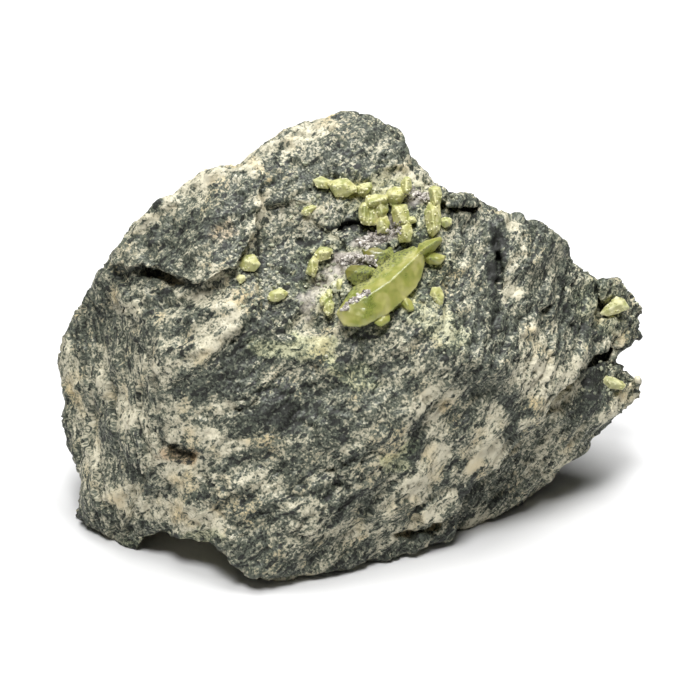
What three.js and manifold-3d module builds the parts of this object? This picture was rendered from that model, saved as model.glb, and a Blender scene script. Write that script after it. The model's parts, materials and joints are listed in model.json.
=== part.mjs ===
// Rough titanite: a hand specimen of grey-green chlorite schist, streaked with pale feldspar, that carries
// a nest of yellow-green titanite crystals on its upper front. Millimetres, +Z up, +X to the viewer's right,
// -Y to the viewer. The rock is drawn as it is seen: an outline and a relief on a view plane that leans back,
// with u to the right, v up the plane and w out of it, towards the eye. Crystals that grew together are one
// piece, and each piece is seated in a socket of the rock.

import * as THREE from "three";
import { ConvexGeometry } from "three/addons/geometries/ConvexGeometry.js";
import { ImprovedNoise } from "three/addons/math/ImprovedNoise.js";
import { mergeVertices } from "three/addons/utils/BufferGeometryUtils.js";
import Module from "manifold-3d";

// Driving dimensions, in millimetres and degrees
const VIEW_TILT = 25; // how far above the horizon the eye is
const VIEW_DISTANCE = 325; // from the eye to the view plane
const BASE_DROP = 18.9; // from the view plane's origin down to the surface that the rock rests on
const FRONT_DEPTH = 23; // bulge of the rock towards the eye, before its faces are broken off
const BACK_DEPTH = 25;
const BOXINESS = 2.8; // 2 is round, and more is squarer
const ROCK_DETAIL = 11; // cuts along each edge of the icosahedron that the rock's skin starts from
const RIM_GROWTH = 0.05; // how much wider the skin is at its rim, before the outline is cut out of it
const RIM_TURNS = [-4, -2, 0, 2, 4]; // over which the skin takes the outline's widest radius, to fill corners
const RIM_BAND = 0.15; // share of the way from the rim to the middle of a side over which that fades
const RIM_ROUGHNESS = 0.3; // of the skin at its rim, as a share of that further in
const ROUGH_BAND = 0.25; // share of the way from the rim to the middle over which it grows rough
const BACK_NARROWING = 0.1; // how much narrower than the outline the rock's far side is
const BACK_BAND = 0.3; // share of the way from the rim to the middle of the far side over which it narrows
const EVEN_TURNS = [-18, -12, -6, 0, 6, 12, 18]; // over which the far side's outline is evened out
const SIGHT_REACH = 40; // of a prism along the line of sight, past the rock on either side
const PATCH_INSET = 0.015; // share that a raised patch shrinks and a lowered one grows, off the outline
const STREAK_ANGLE = 37; // of the schist's layers, seen from the front
const CRACK_MOUTH = 1.5; // how far a crack's cutter stands out of the skin
const CRACK_TAPER = 0.5; // a crack's width at its end, as a share of its width at the skin
const SOCKET_GAP = 0.3; // between a crystal and the rock around it
const MITRE = 0.4; // least share of a socket corner's shift that counts for any of its faces
const SLOPE = [0, -0.42]; // rise in w of the slope that the crystals grow on, per mm along u and v
const RIM_HEIGHT = 0.45; // of a crystal's rim over the slope
const FOOT_DEPTH = 1.0; // of a crystal's foot below the slope
const FOOT_SHARE = 0.75; // size of the foot, as a share of the rim
const FLOOR_BLOCK = 200; // side of the block that cuts the rock off at the surface it rests on
const WELD = 1e-4; // corners closer than this are one

// The rock's outline, anticlockwise from its top: [u, v, w]
const OUTLINE = [
  [-0.6, 28.3, 2], [-2.6, 27.5, 2], [-5.2, 27.0, 2], [-7.4, 26.2, 2], [-8.9, 25.3, 2], [-11.1, 23.7, 3],
  [-13.4, 21.8, 4], [-15.3, 21.6, 4], [-17.5, 21.2, 4], [-19.8, 19.6, 4], [-21.4, 18.4, 4], [-23.3, 17.4, 3],
  [-24.4, 16.0, 3], [-25.8, 14.8, 2], [-26.4, 13.4, 2], [-28.2, 11.4, 1], [-28.6, 10.3, 1], [-29.9, 9.3, 0],
  [-30.6, 7.4, 0], [-32.4, 4.3, -1], [-33.4, 1.6, -1], [-35.0, -0.7, -2], [-34.5, -3.1, -2],
  [-34.0, -5.1, -2], [-33.7, -6.3, -2], [-34.2, -7.7, -2], [-33.9, -9.3, -2], [-33.7, -10.9, -2],
  [-32.6, -13.3, -2],
  [-31.9, -15.5, -2], [-32.1, -19.9, -3], [-29.8, -21.7, 1], [-27.8, -22.8, 4], [-26.8, -24.0, 6],
  [-25.0, -24.5, 7.5], [-23.1, -23.9, 9.5], [-20.3, -22.9, 12], [-18.3, -22.7, 12.5], [-17.0, -22.9, 12.7],
  [-14.9, -24.4, 13.5], [-14.0, -25.2, 14], [-11.7, -26.6, 14.5], [-9.5, -27.3, 14.8], [-6.4, -26.9, 14],
  [-4.0, -26.6, 13.2], [-1.4, -26.1, 12], [1.5, -25.2, 10], [5.5, -24.6, 8], [8.4, -23.7, 6],
  [11.4, -22.7, 4], [14.2, -21.8, 1], [16.2, -20.0, -2], [17.8, -19.8, -3], [19.6, -18.7, -5],
  [22.8, -15.7, -7],
  [25.8, -13.3, -8], [27.9, -11.7, -8], [28.3, -10.6, -8], [30.3, -8.5, -8], [34.2, -5.7, -8],
  [34.8, -4.3, -8], [34.4, -3.4, -8], [32.2, -2.3, -8], [31.1, -1.4, -8], [31.9, 0.0, -7],
  [33.0, 0.5, -7], [35.1, 1.6, -7],
  [35.2, 2.8, -7], [34.6, 4.9, -7], [33.6, 6.0, -7], [33.2, 7.0, -7], [31.6, 8.4, -6], [30.4, 8.2, -5],
  [29.4, 7.9, -4], [29.0, 8.7, -3], [27.3, 9.2, -2], [26.3, 10.2, -1], [25.7, 10.9, -1], [25.7, 12.4, 0],
  [24.6, 13.6, 0], [23.0, 15.0, 1], [22.2, 15.4, 1], [20.9, 15.1, 1], [20.0, 15.9, 1], [17.4, 15.9, 2],
  [16.9, 16.9, 2], [15.6, 17.6, 2], [13.8, 18.3, 2], [10.7, 19.0, 2], [9.3, 20.4, 2], [8.1, 21.8, 2],
  [6.9, 23.0, 2], [6.3, 24.2, 2], [5.4, 25.8, 2], [3.0, 27.4, 2], [1.2, 28.0, 2],
];

// Broken faces towards the eye and away from it: a point [u, v, w] of each, and its rise in w per mm along u
// and v
const FRONT_FACES = [
  { point: [-4, -12, 16.5], rise: [0.02, -0.03] }, // the large front face
  { point: [-6, -20, 16.4], rise: [0.0, 0.14] }, // its foot
  { point: [0, 8, 14.5], rise: [0.0, -0.45] }, // the crystals' shelf, up to the top
  { point: [-34, -4, -0.5], rise: [1.4, 0.0] }, // the left end
  { point: [-17, 15, 10.5], rise: [0.5, -0.45] }, // the slab at the upper left
  { point: [24, 4, 7], rise: [-0.9, -0.1] }, // the right end
  { point: [15, 13, 9], rise: [-0.35, -0.5] }, // the right shoulder
  { point: [12, -17, 8.5], rise: [-0.6, 0.55] }, // the undercut at the lower right
  { point: [-24, -20, 9], rise: [0.8, 0.4] }, // the left foot
];
const BACK_FACES = [
  { point: [0, 0, -21], rise: [0.06, 0.12] },
  { point: [-24, 0, -12], rise: [-0.9, 0.1] },
  { point: [24, 2, -16], rise: [0.8, -0.15] },
  { point: [0, 20, -8], rise: [0.1, 0.9] },
  { point: [-16, 15, -12], rise: [-0.5, 0.7] },
];

// Patches of the skin that stand proud, or were broken off lower: an outline [u, v] of the step, seen at a
// level w, the lift out of the rock, the step's lean along u and v per mm further in, and the depth w where
// it starts
const PATCHES = {
  upper_left_slab: {
    outline: [
      [-34, 8.0], [-34, 30], [-10.5, 30], [-9.8, 19.6], [-10.9, 14.0], [-12.1, 12.3], [-13.8, 10.2],
      [-15.6, 9.7], [-17.7, 8.3], [-20.2, 8.3], [-22.4, 9.1], [-25.7, 8.4],
    ],
    lift: 2.2,
    level: 13,
    lean: [-0.25, 0.3],
    from: 0,
  },
  shelf_left_of_crystals: {
    outline: [
      [-10.5, 18.4], [-5.9, 19], [-3.6, 16.1], [-0.6, 13.7], [-1.2, 2.4], [-5.9, 1.2], [-10.5, 3.6],
      [-11.3, 10.5],
    ],
    lift: -0.9,
    level: 13,
    lean: [0, -0.3],
    from: 0,
  },
  lip_over_crack: {
    outline: [[10.7, 20], [17.6, 18.2], [17.3, 16.2], [13.1, 16.4], [10.9, 16.7]],
    lift: 1.4,
    level: 9,
    lean: [0, 0.4],
    from: 0,
  },
  upper_beak: {
    outline: [
      [28.8, 9.2], [38, 9.5], [38, 0.0], [32.8, 0.1], [31.8, 1.3], [29.8, 0.9], [28.6, 1.8], [29.2, 4.2],
      [29.4, 6.0], [29.0, 7.1],
    ],
    lift: -4.2,
    level: 0,
    lean: [-0.3, 0],
    from: -20,
  },
  lower_right_ledge: {
    outline: [
      [31.6, 0.2], [38, 0.0], [38, -30], [10.7, -30], [14.3, -16.9], [17.5, -14.3], [18.9, -11.4],
      [20.8, -10.7], [21.6, -8.6], [23.2, -7.7], [24.4, -5.6], [26.8, -4.2], [28.2, -2.2],
    ],
    lift: -4.2,
    level: 4,
    lean: [-0.4, 0.4],
    from: -20,
  },
  feldspar_lens: {
    outline: [[8.1, -19.6], [10.7, -17.8], [13.3, -17.1], [12.9, -19.0], [10.7, -20.6], [8.8, -20.8]],
    lift: 1.2,
    level: 9,
    lean: [0, 0],
    from: 0,
  },
  pit: {
    outline: [[-22.4, -12.1], [-20.2, -11.4], [-18.2, -12.6], [-19.0, -13.6], [-21.7, -13.8]],
    lift: -1.6,
    level: 14,
    lean: [0.2, 0.5],
    from: 0,
  },
  pale_flake: {
    outline: [
      [-23.8, -0.2], [-22.6, 3], [-19.6, 5.9], [-13.6, 5.4], [-13.1, 3], [-17.3, -1.8], [-20.8, -3.8],
    ],
    lift: 0.8,
    level: 15,
    lean: [0, 0],
    from: 0,
  },
};

// Cracks that run into the rock: a path [u, v, half width], how deep they are and how far they shift inside
const CRACKS = {
  shelf: {
    path: [[-8.2, 13.0, 0.2], [-6.6, 12.8, 0.45], [-4.8, 12.5, 0.25]],
    depth: 2.5,
    shift: [0, 0.6],
  },
  over_crusts: {
    path: [[-3.6, 13.7, 0.25], [-1.7, 13.9, 0.4], [-0.5, 14.6, 0.55], [3.2, 14.4, 0.45]],
    depth: 4,
    shift: [0, 1.0],
  },
  under_lip: {
    path: [[10.4, 16.2, 0.5], [13.0, 16.4, 0.65], [15.0, 16.5, 0.5], [16.3, 16.6, 0.2]],
    depth: 4.5,
    shift: [0, 1.4],
  },
  under_slab: {
    path: [[-25.6, 8.6, 0.2], [-23.4, 8.8, 0.6], [-20.6, 7.8, 0.6], [-19.2, 7.4, 0.2]],
    depth: 5,
    shift: [0, 1.2],
  },
  under_lens: {
    path: [[4.2, -22.4, 0.2], [8.0, -22.0, 0.75], [11.4, -20.9, 0.2]],
    depth: 3,
    shift: [0, 0.6],
  },
  behind_beak: {
    path: [[28.9, 8.4, 0.2], [29.3, 6.4, 0.55], [29.2, 4.2, 0.6], [28.9, 2.0, 0.4]],
    depth: 5,
    shift: [0.8, 0],
  },
  between_beaks: {
    path: [[25.4, -3.6, 0.15], [28.0, -2.3, 0.5], [30.0, -0.9, 0.65], [31.4, -0.5, 0.4]],
    depth: 5,
    shift: [0, 0.6],
  },
  right_crease: {
    path: [[17.2, 15.0, 0.2], [17.4, 12.0, 0.5], [17.6, 8.8, 0.45], [17.5, 3.4, 0.2]],
    depth: 2.2,
    shift: [0.3, 0],
  },
};

// The hollow under the front of the base: its middle in X and Y, and its radii
const ARCH = { middle: [-18.5, -14.5], radii: [6.5, 13, 4.2], sides: 14, rings: 8 };

// Crusts of fine grains that stand on the rock as ridges: a path [u, v] and a radius
const CRUSTS = [
  { path: [[1.3, 12.4], [2.3, 13.5], [3.9, 13.3], [5.1, 14.2], [6.0, 14.6]], radius: 0.75 },
  { path: [[-1.0, 10.4], [0.0, 10.9], [1.8, 10.8], [3.0, 10.1]], radius: 0.7 },
  { path: [[6.9, 18.2], [8.2, 18.5], [9.1, 18.0]], radius: 0.6 },
];

// The large crystal's corners: [u, v, height over the slope]
const LARGE_CRYSTAL = {
  middle: [3.5, 7.5],
  rise: [-0.08, -0.52],
  corners: [
    [-1.6, 4.3, 0.7], [-0.7, 2.9, 0.5], [1.3, 2.8, 0.6], [2.3, 3.2, 0.8], [4.4, 4.3, 0.9], [6.3, 5.9, 0.9],
    [7.7, 7.3, 0.9], [8.4, 8.6, 0.9], [8.8, 10.3, 1.0], [8.9, 10.7, 1.1],
    [-0.7, 3.9, 1.1], [1.6, 3.8, 1.35], [3.9, 4.7, 1.4],
    [-1.0, 4.8, 1.5], [2.3, 6.5, 2.5], [5.0, 8.3, 2.8], [7.1, 10.3, 2.6], [8.5, 11.6, 2.0],
    [0.3, 7.3, 0.5], [3.1, 9.4, 0.6], [5.4, 11.5, 0.6], [7.6, 12.3, 0.7],
    [-0.3, 4.2, -1.3], [3.0, 4.6, -1.3], [7.4, 9.0, -1.3], [6.4, 11.2, -1.3], [2.0, 7.4, -1.3],
  ],
};

// The crystals of each piece: the rim [u, v] of each, and the ridge [u, v, height over the slope] that it
// rises to. Those of the large crystal's piece are measured from its slope.
const CRYSTAL_PIECES = {
  main_crystal: [
    {
      rim: [[8.2, 12.6], [9.5, 13.1], [10.8, 13.4], [10.9, 13.0], [10.2, 12.1], [9.3, 11.2], [8.3, 11.5]],
      ridge: [[8.0, 11.3, 2.2], [8.9, 12.1, 2.6], [10.2, 12.9, 2.1]],
    },
    {
      rim: [[8.7, 10.8], [9.5, 11.6], [10.8, 11.3], [11.4, 11.1], [10.7, 10.2], [9.4, 10.3]],
      ridge: [[9.4, 10.9, 1.4], [10.5, 10.8, 1.0]],
    },
    {
      rim: [[-0.5, 9.5], [0.2, 10], [1.8, 10], [2.9, 9.6], [3.1, 8.8], [2, 7.7], [0.8, 7.6], [-0.3, 8.5]],
      ridge: [[0.5, 9.3, 1.7], [2.2, 9.2, 1.9]],
    },
    {
      rim: [[1.5, 11.9], [2.8, 12.3], [4.9, 12.1], [5.4, 11.0], [3.6, 9.7], [1.8, 10.7]],
      ridge: [[2.7, 11.6, 1.1], [4.2, 11.5, 1.2]],
    },
    { rim: [[2.9, 3.2], [3.6, 4.3], [4.6, 4.5], [4.7, 3.5], [3.7, 2.8]], ridge: [[3.9, 3.7, 0.9]] },
    {
      rim: [[6.2, 5.5], [6.6, 6.4], [7.3, 5.8], [7.6, 4.8], [7.0, 4.6]],
      ridge: [[6.4, 6.3, 1.0], [6.9, 5.3, 0.8]],
    },
  ],
  upper_crystal_cluster: [
    {
      rim: [[1.1, 16.8], [1.5, 17.5], [2.1, 17.5], [2.4, 16.5], [2.1, 14.9], [1.5, 15.0], [1.1, 15.9]],
      ridge: [[1.7, 17.1, 1.7], [1.7, 15.4, 1.2]],
    },
    {
      rim: [[2.0, 16.8], [2.9, 16.9], [3.4, 16.0], [3.0, 14.9], [2.0, 14.9]],
      ridge: [[2.5, 16.4, 1.3], [2.6, 15.3, 1.0]],
    },
    {
      rim: [[1.8, 17.5], [2.0, 18.3], [3.1, 18.5], [4.5, 18.3], [4.4, 17.5], [3.1, 17.0], [2.0, 17.1]],
      ridge: [[2.3, 17.5, 1.8], [4.2, 18.0, 2.0]],
    },
    {
      rim: [[3.0, 17.5], [4.4, 17.9], [4.5, 16.6], [3.9, 15.8], [3.1, 16.0]],
      ridge: [[3.6, 17.1, 1.6], [3.8, 16.3, 1.4]],
    },
    {
      rim: [[3.2, 15.3], [3.6, 16.0], [4.4, 15.9], [4.7, 15.0], [4.4, 14.0], [3.3, 13.9]],
      ridge: [[3.7, 15.3, 1.6], [3.9, 14.4, 1.2]],
    },
    {
      rim: [[4.2, 18.1], [4.5, 18.9], [5.3, 19.4], [6.2, 19.3], [6.6, 18.5], [6.1, 17.5], [5.2, 17]],
      ridge: [[5.0, 18.5, 2.0], [5.9, 18.4, 2.3]],
    },
    {
      rim: [[6.1, 19.9], [6.6, 20.6], [7.1, 20.5], [7.3, 19.4], [7.0, 18.6], [6.2, 18.5]],
      ridge: [[6.7, 20.1, 1.9], [6.7, 18.9, 2.2]],
    },
    {
      rim: [[5.0, 16.5], [5.1, 17.2], [6.7, 17.3], [7.0, 16.2], [7.1, 15.0], [6.2, 14.7], [5.3, 14.9]],
      ridge: [[5.7, 16.6, 2.1], [6.2, 15.3, 1.8]],
    },
    {
      rim: [[5.7, 14.3], [6.0, 15.2], [7.1, 15.3], [7.4, 14.0], [7.1, 12.9], [5.9, 12.9]],
      ridge: [[6.3, 14.5, 1.7], [6.6, 13.4, 1.3]],
    },
    { rim: [[6.8, 15.8], [7.7, 15.8], [7.9, 15.3], [7.0, 15.0]], ridge: [[7.3, 15.5, 1.1]] },
  ],
  right_crystal_cluster: [
    {
      rim: [[9.5, 18.1], [9.4, 19.2], [10.0, 19.5], [10.7, 19.3], [10.9, 18.4], [10.6, 17.0], [9.7, 17.0]],
      ridge: [[10.0, 18.9, 1.9], [10.2, 17.5, 1.9]],
    },
    {
      rim: [[8.9, 16.3], [9.4, 17.4], [10.6, 17.3], [10.8, 15.8], [10.6, 14.3], [9.8, 13.5], [9.3, 14.0]],
      ridge: [[9.8, 16.6, 2.1], [10.0, 14.5, 1.6]],
    },
    {
      rim: [[10.4, 15.3], [11.3, 15.8], [12.0, 15.6], [12.1, 15.0], [11.3, 14.6]],
      ridge: [[11.4, 15.3, 1.0]],
    },
  ],
  top_left_crystals: [
    {
      rim: [[-4.4, 20.2], [-3.4, 20.6], [-2.3, 20.1], [-2.6, 19.2], [-3.8, 19.4]],
      ridge: [[-3.3, 20.0, 1.1]],
    },
    {
      rim: [[-2.7, 19.9], [-1.4, 20.3], [-0.4, 20.4], [0.4, 19.7], [1.0, 19.2], [-0.3, 18.3], [-1.7, 18.3]],
      ridge: [[-2.0, 19.5, 1.3], [-0.6, 19.7, 1.6], [0.2, 19.0, 1.3]],
    },
    {
      rim: [[0.6, 19.2], [1.3, 19.7], [2.4, 19.9], [2.6, 19.4], [2.2, 18.8], [1.1, 18.6]],
      ridge: [[1.3, 19.2, 1.2], [2.1, 19.4, 1.0]],
    },
  ],
  upright_crystals: [
    {
      rim: [[-5.2, 9.2], [-4.8, 10.5], [-4.3, 11.2], [-3.8, 10.8], [-3.9, 9.5], [-4.3, 8.7]],
      ridge: [[-4.5, 10.5, 1.3], [-4.4, 9.3, 1.0]],
    },
    {
      rim: [[-4.2, 11.4], [-3.6, 12.2], [-2.8, 12.2], [-2.1, 11.9], [-2.5, 10.9], [-3.8, 10.6]],
      ridge: [[-3.5, 11.6, 1.2], [-2.7, 11.6, 1.2]],
    },
  ],
  lower_left_crystals: [
    { rim: [[-2.9, 6.5], [-2.6, 7.2], [-2.2, 7.1], [-2.2, 6.2], [-2.7, 5.8]], ridge: [[-2.5, 6.6, 0.9]] },
    {
      rim: [[-3.1, 4.7], [-2.9, 5.6], [-2.3, 6.0], [-1.9, 5.5], [-2.1, 4.4], [-2.7, 4.1]],
      ridge: [[-2.6, 5.3, 1.1], [-2.5, 4.7, 0.9]],
    },
    { rim: [[-3.6, 5.9], [-3.2, 6.5], [-2.5, 6.4], [-2.6, 5.4], [-3.4, 5.4]], ridge: [[-3.1, 5.9, 0.9]] },
  ],
  left_crystal: [
    {
      rim: [[-13.2, 10.1], [-12.6, 11.2], [-11.4, 11.3], [-10.7, 10.2], [-11.4, 9.4], [-12.6, 9.5]],
      ridge: [[-12.4, 10.6, 1.3], [-11.4, 10.3, 1.2]],
    },
  ],
  small_left_crystal: [
    {
      rim: [[-13.5, 8.5], [-13.2, 8.9], [-12.6, 8.8], [-12.5, 8.3], [-13.0, 8.0]],
      ridge: [[-13.0, 8.5, 0.8]],
    },
  ],
  shelf_crystal: [
    {
      rim: [[-9.8, 6.1], [-9.4, 6.9], [-8.3, 7.3], [-7.4, 6.8], [-7.8, 6.2], [-9.0, 5.8]],
      ridge: [[-8.9, 6.7, 1.1], [-8.0, 6.8, 1.0]],
    },
  ],
  pale_crystal: [
    {
      rim: [[-5.8, 16.3], [-5.4, 16.9], [-4.5, 17.2], [-4.0, 17.0], [-4.7, 16.3], [-5.2, 16.0]],
      ridge: [[-5.2, 16.6, 0.9], [-4.5, 16.9, 0.8]],
    },
  ],
  crystal_beside_large: [
    { rim: [[-1.6, 7.7], [-1.4, 8.4], [-0.9, 8.3], [-0.8, 7.4], [-1.3, 6.8]], ridge: [[-1.2, 7.8, 1.0]] },
  ],
  right_crystal: [
    {
      rim: [[9.4, 6.6], [9.8, 7.4], [10.7, 7.4], [11.1, 6.5], [11.0, 5.4], [10.6, 5.0], [9.9, 5.7]],
      ridge: [[10.0, 6.8, 1.3], [10.6, 5.7, 1.0]],
    },
  ],
  upper_beak_crystal: [
    {
      rim: [[29.8, 4.3], [30.3, 5], [31.1, 5.4], [31.7, 6.3], [32.6, 6], [33.2, 5], [31.8, 4.4], [30.6, 4.1]],
      ridge: [[31.0, 4.9, 1.0], [32.0, 5.4, 1.2]],
    },
  ],
  lower_beak_crystal: [
    {
      rim: [[29.9, -3.4], [30.4, -3.0], [31.6, -3.4], [32.8, -4.2], [32.4, -4.7], [31.0, -4.5], [30.0, -4.1]],
      ridge: [[30.6, -3.6, 1.0], [31.9, -4.1, 0.9]],
    },
  ],
};

const wasm = await Module();
wasm.setup();

const { degToRad, lerp, smoothstep } = THREE.MathUtils;
const tilt = degToRad(VIEW_TILT);
const viewToWorld = new THREE.Matrix4()
  .makeBasis(
    new THREE.Vector3(1, 0, 0),
    new THREE.Vector3(0, Math.sin(tilt), Math.cos(tilt)),
    new THREE.Vector3(0, -Math.cos(tilt), Math.sin(tilt)),
  )
  .setPosition(0, 0, BASE_DROP);

// A point at depth w that is seen at u and v of the view plane
function seenAt(u, v, w) {
  const nearer = 1 - w / VIEW_DISTANCE;
  return new THREE.Vector3(u * nearer, v * nearer, w);
}

// A prism along the line of sight, over an outline that is seen at one level and leans per mm further in
function sightPrism({ outline, level, lean }, from, to) {
  const shape = new THREE.Shape(outline.map(([u, v]) => new THREE.Vector2(u, v)));
  const prism = new THREE.ExtrudeGeometry(shape, { depth: to - from, bevelEnabled: false });
  prism.translate(0, 0, from);
  const place = prism.attributes.position;
  for (let i = 0; i < place.count; i++) {
    const inward = level - place.getZ(i);
    const point = seenAt(place.getX(i) + lean[0] * inward, place.getY(i) + lean[1] * inward, place.getZ(i));
    place.setXYZ(i, ...point.applyMatrix4(viewToWorld).toArray());
  }
  return solidOf(prism);
}

// Radius and depth of the outline in one direction round the view plane
function rimAt(angle) {
  const [du, dv] = [Math.cos(angle), Math.sin(angle)];
  for (let i = 0; i < OUTLINE.length; i++) {
    const [au, av, aw] = OUTLINE[i];
    const [bu, bv, bw] = OUTLINE[(i + 1) % OUTLINE.length];
    const sideA = du * av - dv * au;
    const sideB = du * bv - dv * bu;
    if (sideA > 0 || sideB <= 0) continue;
    const share = sideA / (sideA - sideB);
    const [u, v] = [lerp(au, bu, share), lerp(av, bv, share)];
    if (u * du + v * dv > 0) return { radius: Math.hypot(u, v), depth: lerp(aw, bw, share) };
  }
  throw new Error("the outline doesn't go round its centre");
}

// The outline's widest radius close to one direction
function widestRadius(angle) {
  return Math.max(...RIM_TURNS.map((turn) => rimAt(angle + degToRad(turn)).radius));
}

// The outline's radius with its small notches evened out, for the rock's far side
function evenRadius(angle) {
  const sum = EVEN_TURNS.reduce((total, turn) => total + rimAt(angle + degToRad(turn)).radius, 0);
  return sum / EVEN_TURNS.length;
}

const heightOf = ({ point, rise }, u, v) => point[2] + rise[0] * (u - point[0]) + rise[1] * (v - point[1]);

const noise = new ImprovedNoise();
const LUMPS = [
  { size: 11, height: 0.9 },
  { size: 4.5, height: 0.5 },
];
const STREAKS = { along: 13, across: 3, height: 0.7 };
const CHIPS = { size: 8, height: 0.7, tilt: 0.16, jitter: 0.5 };
const CELL_STEPS = [0.73, 0.79, 0.83]; // through the noise, from one lattice cell to the next
const SCATTER = 61.7; // how far apart the noise is read for values that don't depend on each other
const NOISE_GAIN = 1.6; // takes the noise to about -1 to 1
const SIDES = [-1, 0, 1];
const NEIGHBOURS = SIDES.flatMap((x) => SIDES.flatMap((y) => SIDES.map((z) => new THREE.Vector3(x, y, z))));

// Three values from about -1 to 1 that are fixed for one cell of a lattice
function fixedFor(cell) {
  const [x, y, z] = cell.toArray().map((value, axis) => value * CELL_STEPS[axis]);
  const read = [1, 2, 3].map((n) => noise.noise(x + n * SCATTER, y, z));
  return new THREE.Vector3(...read).multiplyScalar(NOISE_GAIN);
}

// The level of flat chips, tilted at random, each round one site of a jittered lattice
function chipLevel(point) {
  const near = point.clone().divideScalar(CHIPS.size);
  const found = { distance: Infinity, level: 0 };
  for (const step of NEIGHBOURS) {
    const cell = near.clone().floor().add(step);
    const fixed = fixedFor(cell);
    const site = cell.addScalar(0.5).addScaledVector(fixed, CHIPS.jitter);
    const away = near.clone().sub(site);
    if (away.length() >= found.distance) continue;
    found.distance = away.length();
    found.level = CHIPS.height * fixed.y + CHIPS.tilt * CHIPS.size * away.dot(fixed);
  }
  return found.level;
}

// Lumps, long low ridges along the schist's layers and flat chips
function roughness(point) {
  const { x, y, z } = point;
  const [cos, sin] = [Math.cos(degToRad(STREAK_ANGLE)), Math.sin(degToRad(STREAK_ANGLE))];
  const along = (x * cos + y * sin) / STREAKS.along;
  const across = (y * cos - x * sin) / STREAKS.across;
  const ridges = STREAKS.height * noise.noise(along, across, z / STREAKS.along);
  const lumps = LUMPS.map(({ size, height }) => height * noise.noise(x / size, y / size, z / size));
  return lumps.reduce((sum, lump) => sum + lump, ridges + chipLevel(point));
}

// The point of the rock's skin in one direction from its middle, both in the view plane's axes
function skinPoint(direction) {
  const flat = Math.hypot(direction.x, direction.y);
  const deep = Math.abs(direction.z);
  const square = (flat ** BOXINESS + deep ** BOXINESS) ** (1 / BOXINESS);
  const reach = flat / square;
  const bulge = (deep / square) * (direction.z > 0 ? FRONT_DEPTH : -BACK_DEPTH);
  const angle = Math.atan2(direction.y, direction.x);
  const rim = rimAt(angle);
  const grown = widestRadius(angle) * (1 + RIM_GROWTH * (1 - smoothstep(deep, 0, RIM_BAND)));
  const narrow = evenRadius(angle) * (1 - BACK_NARROWING);
  const radius = reach * lerp(grown, narrow, smoothstep(-direction.z, 0, BACK_BAND));
  const [u, v] = [Math.cos(angle) * radius, Math.sin(angle) * radius];
  let w = rim.depth * reach ** 2 + bulge;
  w = Math.min(w, ...FRONT_FACES.map((face) => heightOf(face, u, v)));
  w = Math.max(w, ...BACK_FACES.map((face) => heightOf(face, u, v)));
  const point = seenAt(u, v, w);
  const rough = lerp(RIM_ROUGHNESS, 1, smoothstep(deep, 0, ROUGH_BAND)) * roughness(point);
  return point.addScaledVector(point.clone().normalize(), rough);
}

// Turns a closed geometry into a solid for cutting and joining, and a solid back into a geometry
function solidOf(geometry) {
  const bare = geometry.clone();
  for (const name of Object.keys(bare.attributes)) {
    if (name !== "position") bare.deleteAttribute(name);
  }
  const merged = mergeVertices(bare, WELD);
  const vertProperties = merged.attributes.position.array;
  return new wasm.Manifold(new wasm.Mesh({ numProp: 3, vertProperties, triVerts: merged.index.array }));
}

function geometryOf(solid) {
  const { vertProperties, triVerts } = solid.getMesh();
  const geometry = new THREE.BufferGeometry();
  geometry.setAttribute("position", new THREE.BufferAttribute(vertProperties, 3));
  geometry.setIndex(new THREE.BufferAttribute(triVerts, 1));
  geometry.computeVertexNormals();
  return geometry;
}

const hullOf = (points) => new ConvexGeometry(points.map((point) => point.clone().applyMatrix4(viewToWorld)));
const joined = (solids) => solids.reduce((whole, solid) => whole.add(solid));
const largestBody = (solid) => solid.decompose().reduce((a, b) => (b.volume() > a.volume() ? b : a));

function bareRock() {
  const ball = new THREE.IcosahedronGeometry(1, ROCK_DETAIL).deleteAttribute("normal").deleteAttribute("uv");
  const skin = mergeVertices(ball);
  const place = skin.attributes.position;
  const point = new THREE.Vector3();
  for (let i = 0; i < place.count; i++) {
    point.copy(skinPoint(point.fromBufferAttribute(place, i).normalize())).applyMatrix4(viewToWorld);
    place.setXYZ(i, point.x, point.y, point.z);
  }
  return solidOf(skin);
}

// The rock with one patch of its bare skin moved in or out along the line of sight
function stepped(rock, bare, patch) {
  const prism = sightPrism(patch, patch.from, SIGHT_REACH);
  const raised = patch.lift > 0;
  const size = raised ? 1 - PATCH_INSET : 1 + PATCH_INSET;
  const move = new THREE.Matrix4().makeTranslation(0, 0, patch.lift).scale(new THREE.Vector3(size, size, 1));
  const inWorld = viewToWorld.clone().multiply(move).multiply(viewToWorld.clone().invert());
  const moved = bare.transform(inWorld.toArray());
  return raised ? rock.add(moved.intersect(prism)) : rock.subtract(prism.subtract(moved));
}

function brokenRock() {
  const bare = bareRock();
  const rock = Object.values(PATCHES).reduce((whole, patch) => stepped(whole, bare, patch), bare);
  const outline = { outline: OUTLINE, level: 0, lean: [0, 0] };
  return rock.intersect(sightPrism(outline, -SIGHT_REACH, SIGHT_REACH));
}

// Finds the rock's skin, in the view plane's axes, where the eye sees it at u and v
function skinFinder(solid) {
  const target = new THREE.Mesh(geometryOf(solid));
  const worldToView = viewToWorld.clone().invert();
  const eye = new THREE.Vector3(0, 0, VIEW_DISTANCE).applyMatrix4(viewToWorld);
  return (u, v) => {
    const towards = new THREE.Vector3(u, v, 0).applyMatrix4(viewToWorld).sub(eye).normalize();
    const [hit] = new THREE.Raycaster(eye, towards).intersectObject(target);
    return hit.point.applyMatrix4(worldToView);
  };
}

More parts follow.
